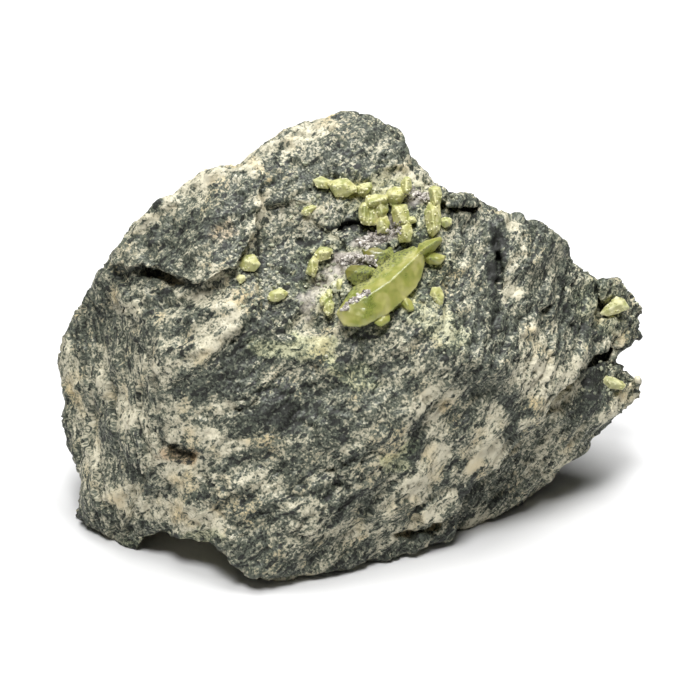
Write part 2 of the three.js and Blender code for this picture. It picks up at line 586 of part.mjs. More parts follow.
// One stretch of a crack for each step of its path
function crackSolids({ path, depth, shift }, skinAt) {
  return path.slice(1).map((to, i) => {
    const from = path[i];
    const across = new THREE.Vector2(from[1] - to[1], to[0] - from[0]).normalize();
    const corners = [from, to].flatMap(([u, v, half]) => {
      const { z } = skinAt(u, v);
      return [half, -half].flatMap((side) => {
        const [du, dv] = [across.x * side, across.y * side];
        return [
          seenAt(u + du, v + dv, z + CRACK_MOUTH),
          seenAt(u + shift[0] + du * CRACK_TAPER, v + shift[1] + dv * CRACK_TAPER, z - depth),
        ];
      });
    });
    return solidOf(hullOf(corners));
  });
}

// One lump for each step of a crust's path
function crustSolids({ path, radius }, skinAt) {
  const ball = new THREE.OctahedronGeometry(radius).attributes.position;
  const cornerAt = (_, i) => new THREE.Vector3().fromBufferAttribute(ball, i);
  const corners = Array.from({ length: ball.count }, cornerAt);
  const rings = path.map(([u, v]) => {
    const middle = skinAt(u, v);
    return corners.map((corner) => corner.clone().add(middle));
  });
  return rings.slice(1).map((ring, i) => solidOf(hullOf([...rings[i], ...ring])));
}

// A plane through the rock's skin, and points [u, v, height] over it
const slopeAt = ({ middle, rise }, skinAt) => ({ point: [...middle, skinAt(...middle).z], rise });
const over = (slope, points) => points.map(([u, v, height]) => seenAt(u, v, heightOf(slope, u, v) + height));

function middleOf(rim) {
  return [0, 1].map((axis) => rim.reduce((sum, corner) => sum + corner[axis], 0) / rim.length);
}

// A crystal's ridge, its rim and its smaller foot
function crystalPoints({ rim, ridge }) {
  const [u0, v0] = middleOf(rim);
  const foot = rim.map(([u, v]) => [lerp(u0, u, FOOT_SHARE), lerp(v0, v, FOOT_SHARE), -FOOT_DEPTH]);
  return [...ridge, ...rim.map(([u, v]) => [u, v, RIM_HEIGHT]), ...foot];
}

// The corners of each crystal of a piece
function pieceCorners(name, crystals, skinAt) {
  if (name !== "main_crystal") {
    return crystals.map((crystal) => {
      const slope = slopeAt({ middle: middleOf(crystal.rim), rise: SLOPE }, skinAt);
      return over(slope, crystalPoints(crystal));
    });
  }
  const slope = slopeAt(LARGE_CRYSTAL, skinAt);
  return [LARGE_CRYSTAL.corners, ...crystals.map(crystalPoints)].map((points) => over(slope, points));
}

// A hull whose every corner has moved out, so that each face is a socket's gap further out
function socketSolid(hull) {
  const place = hull.attributes.position;
  const normal = hull.attributes.normal;
  const corners = new Map();
  for (let i = 0; i < place.count; i++) {
    const point = new THREE.Vector3().fromBufferAttribute(place, i);
    const key = point.toArray().map((value) => Math.round(value / WELD)).join();
    const corner = corners.get(key) ?? { point, normals: [] };
    corner.normals.push(new THREE.Vector3().fromBufferAttribute(normal, i));
    corners.set(key, corner);
  }
  const moved = [...corners.values()].map(({ point, normals }) => {
    const out = normals.reduce((sum, one) => sum.add(one), new THREE.Vector3()).normalize();
    const least = Math.max(MITRE, Math.min(...normals.map((one) => one.dot(out))));
    return point.addScaledVector(out, SOCKET_GAP / least);
  });
  return solidOf(new ConvexGeometry(moved));
}

function buildSpecimen() {
  const broken = brokenRock();
  const skinAt = skinFinder(broken);
  const crusted = joined([broken, ...CRUSTS.flatMap((crust) => crustSolids(crust, skinAt))]);
  const below = new THREE.BoxGeometry(FLOOR_BLOCK, FLOOR_BLOCK, FLOOR_BLOCK);
  below.translate(0, 0, -FLOOR_BLOCK / 2);
  const arch = new THREE.SphereGeometry(1, ARCH.sides, ARCH.rings);
  arch.scale(...ARCH.radii).translate(...ARCH.middle, 0);
  const cracks = Object.values(CRACKS);
  const cuts = [solidOf(below), solidOf(arch), ...cracks.flatMap((crack) => crackSolids(crack, skinAt))];

  const specimen = new THREE.Group();
  const crystalMaterial = new THREE.MeshStandardMaterial({ color: 0xb5b65e, roughness: 0.25, metalness: 0 });
  for (const [name, crystals] of Object.entries(CRYSTAL_PIECES)) {
    const hulls = pieceCorners(name, crystals, skinAt).map(hullOf);
    cuts.push(...hulls.map(socketSolid));
    const piece = new THREE.Mesh(geometryOf(joined(hulls.map(solidOf))), crystalMaterial.clone());
    piece.name = name;
    specimen.add(piece);
  }

  const rockMaterial = new THREE.MeshStandardMaterial({ color: 0x6c7064, roughness: 0.9, metalness: 0 });
  const rock = new THREE.Mesh(geometryOf(largestBody(crusted.subtract(joined(cuts)))), rockMaterial);
  rock.name = "schist_matrix";
  specimen.add(rock);

  const box = new THREE.Box3().setFromObject(specimen);
  const middle = box.getCenter(new THREE.Vector3());
  for (const piece of specimen.children) piece.geometry.translate(-middle.x, -middle.y, 0);
  return specimen;
}

export default buildSpecimen();
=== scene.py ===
"""Rough titanite: the looks of a schist hand specimen and of the crystals that stand on it.

The scene is in metres, with +Z up and the viewer towards -Y. The sizes in this script are in millimetres,
apart from the studio's.
"""

import json
import math

import bmesh
import bpy
import numpy as np
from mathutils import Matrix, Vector
from mathutils.bvhtree import BVHTree


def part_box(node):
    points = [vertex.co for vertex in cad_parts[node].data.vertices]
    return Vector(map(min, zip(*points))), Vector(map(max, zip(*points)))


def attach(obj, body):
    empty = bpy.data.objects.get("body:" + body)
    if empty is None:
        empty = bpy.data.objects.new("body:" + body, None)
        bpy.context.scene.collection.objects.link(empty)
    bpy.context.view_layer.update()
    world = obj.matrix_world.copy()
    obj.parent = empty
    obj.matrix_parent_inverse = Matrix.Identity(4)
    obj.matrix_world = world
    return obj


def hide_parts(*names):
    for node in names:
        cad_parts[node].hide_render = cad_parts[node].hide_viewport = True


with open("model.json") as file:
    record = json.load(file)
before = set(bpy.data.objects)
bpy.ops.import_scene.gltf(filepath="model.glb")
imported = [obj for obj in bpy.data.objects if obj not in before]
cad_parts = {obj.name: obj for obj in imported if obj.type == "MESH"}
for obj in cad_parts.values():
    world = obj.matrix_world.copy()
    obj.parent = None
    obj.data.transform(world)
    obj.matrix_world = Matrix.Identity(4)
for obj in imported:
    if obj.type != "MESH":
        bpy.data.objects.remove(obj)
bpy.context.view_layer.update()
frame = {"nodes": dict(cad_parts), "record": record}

MM = 0.001

# The photograph's view: a plane that leans back, u to the right, v up it and w out of it
VIEW_TILT = math.radians(25)
VIEW_DISTANCE = 325
VIEW_WIDTH = 83.3
VIEW_POINT = np.array((-0.201, 1.133, 18.9))
RIGHT = np.array((1, 0, 0))
UP = np.array((0, math.sin(VIEW_TILT), math.cos(VIEW_TILT)))
OUT = np.array((0, -math.cos(VIEW_TILT), math.sin(VIEW_TILT)))
EYE = VIEW_POINT + OUT * VIEW_DISTANCE

# The studio, in metres and watts: each light's name, place, size and power
LIGHTS = [
    ("overhead", (0.08, 0.2, 0.9), 0.6, 11),
    ("front", (-0.08, -0.36, 0.92), 0.35, 9.5),
]
LIT_POINT = Vector((0, 0, 0.02))
WHITE = (1, 1, 1, 1)
SURROUNDING_LIGHT = 0.04
FLOOR_SIDE = 4
FLOOR_GREY = (0.68, 0.68, 0.68, 1)
FLOOR_ROUGHNESS = 0.9
CAMERA_NEAR = 0.01
CAMERA_SENSOR = 36  # in millimetres

LARGE = "main_crystal"
CRYSTAL_NODES = [row["node"] for row in frame["record"]["subparts"] if row["material_slot"] == "titanite"]

# Meshes
JOIN_DISTANCE = 1e-7  # in metres
ROCK_VOXEL = 0.31
CRYSTAL_VOXEL = 0.07
FACING_AWAY = -0.05  # a normal's part towards the viewer, below which it counts as the far side's
BACK_SHARE = 0.15  # of the far side's faces that are kept
SOCKET_REACH = 0.6  # from a crystal to the walls of its socket
SOCKET_ROUNDS = 600  # of relaxing that fill a socket
SOFTENING = 0.5  # share of the way to its neighbours' mean that a point moves, to blunt the voxels


class Seed:
    """The seeds of noises and of random draws. A layered noise also takes the ones after its own."""

    STREAKS = 1
    LAYERS = 5
    RIPPLES = 8
    SLABS = 11
    CHIPS = 14
    GROOVES = 17
    GROOVED_PARTS = 19
    CRYSTAL_WAVES = 21
    PITTED_FACE = 22
    PITS = 23
    PITTED_RIM = 24
    FROST = 26
    LAYER_WAVES = 28
    LEFT_FACE = 31
    BAND_RIMS = 40
    CRUST_DRAWS = 3
    FELDSPAR_DRAWS = 5
    TITANITE_DRAWS = 7


# Lattice noise
CELL_PRIMES = np.array((73856093, 19349663, 83492791), dtype=np.uint64)
SEED_PRIME = 7919
FIRST_MIXER = np.uint64(0x9E3779B97F4A7C15)
SECOND_MIXER = np.uint64(0xBF58476D1CE4E5B9)
NOISE_GAIN = 1.4  # brings the noise to about -1 to 1
SITE_JITTER = 0.45  # how far a chip's site lies from the middle of its cell

# The schist's layers: weights of u, v and w along them, across them and through the rock, on its front and
# on its left face, where that face ends in u for some v, the u from which the front's layers steepen and over
# how much, and the layers' waves
FRONT_FABRIC = np.array(((0.8, 0.6, 0), (-0.45, 0.65, 0.3), (0, 0, 0.9)))
LEFT_FABRIC = np.array(((0, 1, 0), (1.2, 0.12, 0), (0, 0, 0.8)))
LEFT_FACE_V = (-23, -11, -0.5, 8)
LEFT_FACE_U = (-28, -22, -23.8, -29)
LEFT_FACE_RAGGED_SIZE = 2
STEEP_START, STEEP_BAND, STEEPENING = 14, 3, 1.8
WAVE_SIZE, WAVE_HEIGHT = 6, 0.5

# The rock's relief: sizes, mostly in the three directions of its layers, and heights
LAYER_SIZE, LAYER_HEIGHT = (6, 1.8, 1.8), 0.4
RIPPLE_SIZE, RIPPLE_HEIGHT = (1.6, 0.7, 0.7), 0.08
SLAB_SIZE, SLAB_HEIGHT = (5.0, 2.2, 2.2), 0.3
CHIP_SIZE, CHIP_HEIGHT = 1.1, 0.1
GROOVE_SIZE, GROOVE_DEPTH = (8, 1.5, 1.5), 0.4
GROOVE_WIDTH = 0.13  # as a value of the noise, which is 0 along a groove's middle
GROOVED_SIZE, GROOVED_RANGE = 7, (-0.1, 0.3)
PIT_SIZE, PIT_DEPTH = (1.9, 1.0, 1.0), 0.25
PIT_RANGE = (0.42, 0.75)
LEVEL_BASE = 0.6  # height over the floor where the relief reaches its full strength

# The rock's tone, from 0 for dark to 1 for pale: its mean, and what changes it
MEAN_TONE = 0.42
STREAK_SIZE, STREAK_TONE = (12, 2.6, 2.6), 0.12
# painted shade: the grooves and pits, cut into the relief below, are also darkened in colour, as their shade
# would be
GROOVE_SHADE_TONE = -0.22
PIT_SHADE_TONE = -0.15
ZONE_SIZE, ZONE_TONE, ZONE_RANGE = (6.0, 1.7, 1.7), 0.24, (0.42, 0.58)
CLUMP_SIZE, CLUMP_TONE = (2.2, 0.8, 0.8), 0.58
GRAIN_SIZE, GRAIN_TONE = (0.32, 0.24, 0.24), 0.38
# the specks' tone is partly grain and partly painted glints of mica
SPECK_SIZE, SPECK_TONE_AND_GLINT = 0.2, 0.42
FLAKE_SIZE, FLAKE_TONE, FLAKE_RANGE = (0.9, 0.32, 0.32), -0.38, (0.1, 0.15)
SCHIST_TONES = [
    (0.0, (0.012, 0.013, 0.010)),
    (0.2, (0.036, 0.043, 0.031)),
    (0.4, (0.090, 0.102, 0.073)),
    (0.52, (0.165, 0.172, 0.126)),
    (0.66, (0.375, 0.353, 0.254)),
    (1.0, (0.61, 0.57, 0.43)),
]
WARM_SIZE, WARM_RANGE, WARM_STRENGTH = 4.0, (0.52, 0.72), 0.75
WARM_TONES = (0.4, 0.7)  # the tones over which the warm stain sets in
WARM_STAIN = (1.0, 0.84, 0.58)
GREEN_STAIN = (0.92, 1.0, 0.82)
RUST_STAIN = (0.8, 0.5, 0.3)
MAUVE_TONES = [(0.0, (0.22, 0.20, 0.175)), (1.0, (0.46, 0.42, 0.36))]
MAUVE_STRENGTH = 0.8

# The crystals: relief, and where their skin is pitted, olive or frosted
CRYSTAL_GROWTH = 0.1  # how far the skin stands out, into the socket's gap
CRYSTAL_WAVE_SIZE, CRYSTAL_WAVE_HEIGHT = 0.7, 0.05
PITTED_SIZE, PITTED_HEIGHT = 0.4, 0.1
RIDGE_START = (-1.0, 4.8)  # the lower end of the large crystal's ridge in u and v
RIDGE_RUN = (0.813, 0.582)
PITTED_RANGE = (0.2, 1.0)  # distances from the ridge over which the large crystal gets pitted
PITTED_RIM_SIZE, PITTED_RIM_SHIFT = 0.8, 0.3
OLIVE_RANGE = (2.4, 3.0)
BEAK_OLIVE = 0.5
EDGE_ROUNDS = 12  # of relaxing that show where the edges are
EDGE_RANGE = (0.008, 0.05)
EDGE_PITTED = 0.9
FROST_PATCH_SIZE, FROST_PATCH_RANGE = 0.6, (-0.4, 0.5)
LEAST_FROST, BEAK_FROST, PATCH_FROST, EDGE_FROST = 0.15, 0.15, 0.45, 0.25

# Titanite, by a cloudiness that is mostly within a range: colours, roughness and clearness
CLOUD_SIZE, CLOUD_RANGE = 1.7, (0.3, 0.7)
TITANITE_TONES = [
    (0.3, (0.46, 0.56, 0.10)),
    (0.5, (0.61, 0.61, 0.15)),
    (0.7, (0.70, 0.65, 0.25)),
]
OLIVE_STAIN = (0.55, 0.52, 0.4)
FROST_COLOUR = (0.85, 0.82, 0.53, 1)
PITTED_STAIN = (0.42, 0.46, 0.44)
# painted shade: near-black spots on the pitted skin that stand for the shade in its pits
HOLE_SIZE, HOLE_RANGE, HOLE_SHADE_STRENGTH = 0.16, (0.25, 0.31), 0.7
HOLE_SHADE_COLOUR = (0.05, 0.055, 0.04, 1)
CLOUD_ROUGHNESS = (0.25, 0.4)
PITTED_ROUGHNESS = 0.4
FROST_ROUGHNESS = 0.55
TITANITE_IOR = 1.9
FROST_SHINE = (0.35, 0.06)  # from none to half frosted
PITTED_SHINE = -0.32
CLOUD_CLEARNESS = (0.7, 0.42)
PITTED_CLEARNESS = -0.3
FROST_CLEARNESS = (1.0, 0.4)
SKIN_SIZE = 0.32
ABSORBED_COLOUR, ABSORPTION = (0.72, 0.8, 0.3, 1), 100.0

# Grains and crumbs: how many, half their sizes, how uneven they are and their colours
GRAINS_PER_MM = 45
CRUMBS_PER_CRYSTAL = 40
CRUMB_MARGIN = 0.6  # round a crystal
TITANITE_CRUMBS_PER_MM2 = 6
CRUST_GRAINS = (0.1, 0.24)
FELDSPAR_GRAINS = (0.1, 0.26)
TITANITE_GRAINS = (0.05, 0.15)
CORNER_SPREAD = (0.6, 1.4)
SIDE_SPREAD = (0.7, 1.3)
SPOT_SIZE, SPOT_STRENGTH = 0.15, 0.5
CRUST_TONES = [(0.1, (0.10, 0.088, 0.078)), (0.5, (0.35, 0.315, 0.28)), (0.95, (0.68, 0.645, 0.59))]
FELDSPAR_TONES = [(0.1, (0.14, 0.15, 0.11)), (0.5, (0.34, 0.35, 0.24)), (0.95, (0.48, 0.48, 0.35))]
TITANITE_CRUMB_TONES = [(0.1, (0.40, 0.41, 0.17)), (0.5, (0.58, 0.56, 0.30)), (0.95, (0.74, 0.72, 0.48))]

# How far bands stray, the shares of their radius over which they fade, and the depths w over which they
# set in
BAND_RAGGED_SIZE, BAND_RAGGED_SHIFT = 2.4, 1.1
BAND_INNER, BAND_OUTER = 0.65, 1.25
BAND_DEPTHS = (-8, -1)

# Bands and patches of feldspar, and dark ones, as the front shows them: two ends in u and v, a radius and a
# strength. Some dark ones are painted shade, in a crease, a crack and the gaps between crystals
PALE_BANDS = [
    ((-3.0, 27.1), (-10.9, 22.7), 1.4, 0.34),
    ((-11.4, 22.0), (-17.3, 20.6), 0.8, 0.35),
    ((-17.3, 20.5), (-21.2, 18.2), 0.9, 0.45),
    ((-23.6, 15.7), (-25.2, 14.3), 0.8, 0.4),
    ((-17.8, 18.4), (-22.4, 16.0), 0.6, 0.22),
    ((-10.0, 19.0), (-10.9, 16.0), 0.5, 0.5),
    ((-10.9, 16.0), (-11.9, 12.9), 0.5, 0.45),
    ((-15.8, 9.0), (-13.9, 6.0), 0.9, 0.3),
    ((-20.2, 6.8), (-16.0, 5.6), 0.9, 0.35),
    ((-22.6, -3.0), (-14.3, 3.6), 2.6, 0.24),
    ((-21.2, -2.4), (-16.1, 0.6), 0.7, 0.22),
    ((-17.3, 2.6), (-14.3, 3.8), 0.7, 0.22),
    ((-34.0, 0.5), (-32.0, -5.5), 1.7, 0.25),
    ((-27.9, 6.2), (-26.2, 4.8), 0.9, 0.32),
    ((-29.8, 0.5), (-29.0, -5.5), 0.7, 0.28),
    ((-27.6, -4.5), (-26.6, -9.0), 0.9, 0.32),
    ((-26.2, -0.6), (-25.2, -1.8), 0.7, 0.3),
    ((-31.5, -8.0), (-30.5, -13.0), 1.3, 0.28),
    ((-25.5, -7.0), (-23.0, -12.0), 1.3, 0.32),
    ((-22.0, -7.0), (-12.0, -6.0), 1.0, 0.28),
    ((-20.8, -9.5), (-13.0, -11.5), 1.2, 0.34),
    ((-18.0, -13.5), (-10.0, -10.0), 1.0, 0.22),
    ((-24.0, -14.0), (-15.0, -16.0), 1.3, 0.36),
    ((-27.5, -17.5), (-16.5, -20.5), 1.8, 0.42),
    ((-30.2, -15.5), (-28.5, -21.0), 2.2, 0.12),
    ((-13.0, -15.0), (-4.0, -19.0), 1.3, 0.26),
    ((-9.0, -21.5), (1.5, -21.5), 1.3, 0.22),
    ((9.5, -5.0), (8.1, -7.3), 0.8, 0.3),
    ((12.3, -5.4), (9.8, -9.0), 1.3, 0.4),
    ((17.7, -8.1), (14.5, -12.7), 1.4, 0.5),
    ((10.8, -12.3), (7.7, -16.7), 1.4, 0.5),
    ((16.7, -12.3), (12.7, -15.2), 1.0, 0.48),
    ((7.7, -11.4), (5.0, -13.8), 0.9, 0.24),
    ((5.7, -16.0), (3.6, -19.0), 1.0, 0.34),
    ((10.0, -20.0), (3.6, -22.7), 0.8, 0.3),
    ((10.7, -2.4), (3.6, -14.3), 1.1, 0.2),
    ((8.8, -20.0), (12.6, -17.2), 0.8, 0.5),
    ((14.2, -21.0), (15.8, -19.0), 0.8, 0.45),
    ((23.2, -15.5), (25.4, -13.9), 0.7, 0.35),
    ((17.9, -11.0), (17.2, -14.0), 0.6, 0.35),
    ((22.7, -6.3), (21.1, -8.7), 0.9, 0.36),
    ((18.6, 15.2), (20.4, 12.6), 1.8, 0.22),
    ((18.8, 10.6), (19.0, 8.2), 1.2, 0.14),
    ((18.4, 7.6), (19.0, 6.4), 1.0, 0.36),
    ((21.2, 2.4), (23.0, -1.5), 1.6, 0.36),
    ((20.8, -3.2), (25.0, -4.5), 2.2, 0.4),
    ((32.0, 1.2), (25.5, -2.0), 0.9, 0.34),
    ((34.6, -3.6), (33.0, -5.2), 1.0, 0.5),
    ((34.0, -5.6), (30.6, -8.2), 1.0, 0.45),
    ((30.0, 5.0), (34.0, 1.5), 2.0, 0.2),
    ((-5.6, 4.5), (-0.6, 10.4), 1.3, 0.25),
    ((-10.5, 0.5), (-2.5, 0.2), 1.4, 0.26),
    ((-2.0, -2.0), (2.4, -3.5), 1.1, 0.2),
    ((5.5, 6.5), (12.0, 2.0), 2.0, 0.24),
    ((5.0, 21.5), (9.5, 19.5), 1.3, 0.28),
    ((-6.0, 17.2), (-2.4, 14.5), 1.1, 0.16),
    ((-4.6, 17.2), (0.8, 17.6), 1.0, 0.18),
    ((1.3, 19.4), (5.0, 20.6), 1.3, 0.22),
    ((-6.0, 3.0), (-2.5, 2.2), 1.4, 0.18),
    ((6.8, 13.4), (9.2, 16.6), 1.2, 0.18),
    ((9.0, -8.1), (7.6, -12.3), 0.8, -0.26),
    ((19.5, -5.0), (18.3, -10.8), 1.0, -0.26),
    ((20.0, -12.5), (26.5, -11.0), 2.4, 0.2),
    ((13.4, -15.5), (16.0, -18.0), 1.2, -0.22),
    ((25.5, 4.8), (26.5, 3.0), 1.3, -0.16),
    ((29.0, -1.0), (28.5, -5.5), 1.2, -0.3),
    # painted shade down the vertical crease right of the crystals
    ((17.1, 15.2), (17.5, 8.3), 0.6, -0.4),
    ((17.4, 8.0), (17.2, 2.0), 0.9, -0.2),
    # painted shadow along the crack under the upper crystals' shelf
    ((-6.0, 12.5), (-3.6, 13.8), 0.35, -0.45),
    ((-3.6, 13.9), (-0.6, 15.0), 0.4, -0.6),
    ((-0.6, 15.1), (3.1, 14.3), 0.45, -0.6),
    ((-10.5, 10.5), (-7.0, 7.5), 2.0, -0.1),
    ((-20.0, -3.6), (-12.5, -6.0), 1.8, -0.18),
    ((-10.5, -5.5), (-1.5, -9.5), 2.5, -0.12),
    # painted shade in the gaps between the small crystals
    ((4.6, 16.7), (4.6, 16.4), 0.35, -0.5),
    ((5.0, 15.3), (5.0, 14.9), 0.35, -0.5),
    ((7.6, 15.0), (7.8, 14.6), 0.4, -0.5),
    ((7.6, 17.5), (8.6, 17.4), 0.5, -0.4),
]

# Parts of the rock that are tinted green by the crystals, rusty or mauve, in the same form
GREEN_BANDS = [
    ((-10.5, 0.5), (-2.5, 0.2), 1.6, 0.8),
    ((-2.0, -2.0), (2.4, -3.5), 1.3, 0.7),
    ((5.5, 6.5), (12.0, 2.0), 2.2, 0.6),
    ((7.7, -11.4), (5.0, -13.8), 1.0, 0.8),
    ((-26.0, -23.4), (-16.0, -22.2), 0.9, 0.6),
    ((29.0, 6.0), (34.0, 3.0), 2.5, 0.5),
    ((-3.0, 9.0), (8.0, 10.0), 4.5, 0.5),
    ((3.0, 18.0), (8.0, 16.0), 3.5, 0.5),
]
RUST_BANDS = [
    ((-22.0, -12.4), (-18.6, -13.0), 1.0, 0.55),
    ((-14.0, 14.5), (-16.0, 13.5), 1.0, 0.4),
]
MAUVE_BANDS = [
    ((-5.6, 5.4), (-1.2, 10.4), 1.0, 0.9),
    ((-1.2, 10.6), (3.0, 10.2), 0.9, 1.0),
    ((1.3, 12.6), (6.0, 14.6), 0.9, 1.0),
    ((6.9, 18.2), (9.1, 18.0), 0.8, 1.0),
]

# Crusts of fine mauve grains: a path in u and v, and half its width
CRUSTS = [
    ([(1.3, 12.4), (2.3, 13.5), (3.9, 13.3), (5.1, 14.2), (6.0, 14.6)], 0.6),
    ([(-1.0, 10.4), (0.0, 10.9), (1.8, 10.8), (3.0, 10.1)], 0.6),
    ([(6.9, 18.2), (8.2, 18.5), (9.1, 18.0)], 0.5),
    ([(-0.8, 4.9), (0.5, 6.0), (2.4, 7.0)], 0.25),
]


def seen(points):
    """Where points are seen on the view plane: u, v and the depth w of each."""
    local = points - VIEW_POINT
    w = local @ OUT
    nearer = 1 - w / VIEW_DISTANCE
    return np.stack((local @ RIGHT / nearer, local @ UP / nearer, w), axis=-1)


def hashed(cells, seed):
    """A whole number below 2 ** 30 for each lattice cell."""
    x, y, z = (cells[..., axis].astype(np.uint64) * prime for axis, prime in enumerate(CELL_PRIMES))
    mixed = ((x ^ y ^ z) + np.uint64(seed * SEED_PRIME + 1)) * FIRST_MIXER
    mixed ^= mixed >> np.uint64(29)
    mixed *= SECOND_MIXER
    return (mixed >> np.uint64(34)).astype(np.int64)


def vectors(cells, seed):
    """A vector with parts from -1 to 1 for each lattice cell, each part from ten bits."""
    code = hashed(cells, seed)
    return np.stack([(code >> shift & 1023) / 511.5 - 1 for shift in (0, 10, 20)], axis=-1)


def gradient_noise(points, seed):
    """Smooth noise from about -1 to 1 with features one unit in size."""
    base = np.floor(points).astype(np.int64)
    part = points - base
    fade = part * part * part * (part * (part * 6 - 15) + 10)
    total = np.zeros(len(points))
    for corner in np.ndindex(2, 2, 2):
        corner = np.array(corner)
        weight = np.prod(np.where(corner, fade, 1 - fade), axis=1)
        total += weight * np.einsum("ij,ij->i", vectors(base + corner, seed), part - corner)
    return total * NOISE_GAIN


def layered_noise(points, seed, layers):
    """Noise at a size, at half of it and so on, each half as strong."""
    return sum(gradient_noise(points * 2**i, seed + i) / 2**i for i in range(layers))


def chips(points, seed):
    """A level for each point: that of the nearest of scattered sites, each of which has a tilt."""
    base = np.floor(points).astype(np.int64)
    nearest = np.full(len(points), np.inf)
    levels = np.zeros(len(points))
    for corner in np.ndindex(3, 3, 3):
        cell = base + np.array(corner) - 1
        away = points - cell - 0.5 - SITE_JITTER * vectors(cell, seed)
        distance = np.einsum("ij,ij->i", away, away)
        closer = distance < nearest
        tilt = vectors(cell, seed + 1)
        level = tilt[:, 0] + np.einsum("ij,ij->i", tilt, away)
        levels = np.where(closer, level, levels)
        nearest = np.where(closer, distance, nearest)
    return levels


def smoothstep(value, low, high):
    """0 up to one value, 1 from another on, and a smooth step between them."""
    share = np.clip((value - low) / (high - low), 0, 1)
    return share * share * (3 - 2 * share)


def fabric_of(points):
    """Coordinates along the schist's layers, across them and through the rock."""
    places = seen(points)
    u, v, _ = places.T
    waves = WAVE_HEIGHT * layered_noise(points / WAVE_SIZE, Seed.LAYER_WAVES, 2)
    front = places @ FRONT_FABRIC.T
    front[:, 1] += waves - STEEPENING * np.logaddexp(0, (u - STEEP_START) / STEEP_BAND)
    left = places @ LEFT_FABRIC.T
    left[:, 1] += waves
    ragged = layered_noise(points / LEFT_FACE_RAGGED_SIZE, Seed.LEFT_FACE, 2)
    on_left = u < np.interp(v, LEFT_FACE_V, LEFT_FACE_U) + ragged
    return np.where(on_left[:, None], left, front)


def band_sum(points, bands):
    """The bands' strengths, added up where they are seen, with ragged edges."""
    noises = [layered_noise(points / BAND_RAGGED_SIZE, Seed.BAND_RIMS + i, 3) for i in range(3)]
    u, v, w = seen(points + BAND_RAGGED_SHIFT * np.stack(noises, axis=-1)).T
    total = np.zeros(len(points))
    for (au, av), (bu, bv), radius, strength in bands:
        run = np.array((bu - au, bv - av))
        share = np.clip(((u - au) * run[0] + (v - av) * run[1]) / (run @ run), 0, 1)
        distance = np.hypot(u - au - share * run[0], v - av - share * run[1])
        total += strength * smoothstep(-distance, -BAND_OUTER * radius, -BAND_INNER * radius)
    return total * smoothstep(w, *BAND_DEPTHS)


def bare_copy(name, node):
    """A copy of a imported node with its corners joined."""
    mesh = bpy.data.meshes.new(name)
    work = bmesh.new()
    work.from_mesh(frame["nodes"][node].data)
    bmesh.ops.remove_doubles(work, verts=work.verts, dist=JOIN_DISTANCE)
    work.to_mesh(mesh)
    work.free()
    piece = bpy.data.objects.new(name, mesh)
    bpy.context.scene.collection.objects.link(piece)
    return piece


def evaluate(piece):
    """Puts a piece's modifiers into its mesh."""
    graph = bpy.context.evaluated_depsgraph_get()
    mesh = bpy.data.meshes.new_from_object(piece.evaluated_get(graph))
    piece.modifiers.clear()
    piece.data = mesh


def remesh(piece, voxel):
    """Replaces a piece's mesh by an even one of small faces."""
    modifier = piece.modifiers.new("remesh", "REMESH")
    modifier.mode = "VOXEL"
    modifier.voxel_size = voxel * MM
    modifier.use_smooth_shade = True
    evaluate(piece)


def read_points(mesh):
    points = np.empty(len(mesh.vertices) * 3)
    mesh.vertices.foreach_get("co", points)
    return points.reshape(-1, 3) / MM


def read_normals(mesh):
    normals = np.empty(len(mesh.vertices) * 3)
    mesh.vertices.foreach_get("normal", normals)
    return normals.reshape(-1, 3)


def write_points(mesh, points):
    mesh.vertices.foreach_set("co", (points * MM).ravel())
    mesh.update()


def read_edges(mesh):
    edges = np.empty(len(mesh.edges) * 2, dtype=np.int32)
    mesh.edges.foreach_get("vertices", edges)
    return edges.reshape(-1, 2)


def set_attribute(mesh, name, values):
    kind, field = ("FLOAT", "value") if values.ndim == 1 else ("FLOAT_VECTOR", "vector")
    attribute = mesh.attributes.new(name, kind, "POINT")
    attribute.data.foreach_set(field, values.astype(np.float32).ravel())


def relax(points, edges, free, rounds, share=1.0):
    """Moves the free points towards the mean of their neighbours, round by round."""
    touching = edges[free[edges].any(axis=1)]
    one_way = np.concatenate((touching, touching[:, ::-1]))
    one_way = one_way[free[one_way[:, 0]]]
    slot = np.full(len(points), -1)
    slot[free] = np.arange(free.sum())
    target = slot[one_way[:, 0]]
    degree = np.maximum(np.bincount(target, minlength=free.sum()), 1)
    for _ in range(rounds):
        there = points[one_way[:, 1]]
        sums = [np.bincount(target, there[:, axis], free.sum()) for axis in range(3)]
        mean = np.stack(sums, axis=-1) / degree[:, None]
        points[free] += share * (mean - points[free])
    return points


def surface_tree(pieces):
    """A search tree of some pieces' faces."""
    points, faces = [], []
    for piece in pieces:
        faces += [[len(points) + index for index in face.vertices] for face in piece.data.polygons]
        points += [vertex.co / MM for vertex in piece.data.vertices]
    return BVHTree.FromPolygons(points, faces)


def near_crystals(points):
    """Which points lie on a socket's wall, or close to a crystal."""
    tree = surface_tree([frame["nodes"][node] for node in CRYSTAL_NODES])
    margin = 2 * SOCKET_REACH
    near = np.zeros(len(points), dtype=bool)
    for node in CRYSTAL_NODES:
        low, high = (np.array(corner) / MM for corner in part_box(node))
        near |= ((points > low - margin) & (points < high + margin)).all(axis=1)
    for index in np.flatnonzero(near):
        near[index] = tree.find_nearest(Vector(points[index]), SOCKET_REACH)[0] is not None
    return near


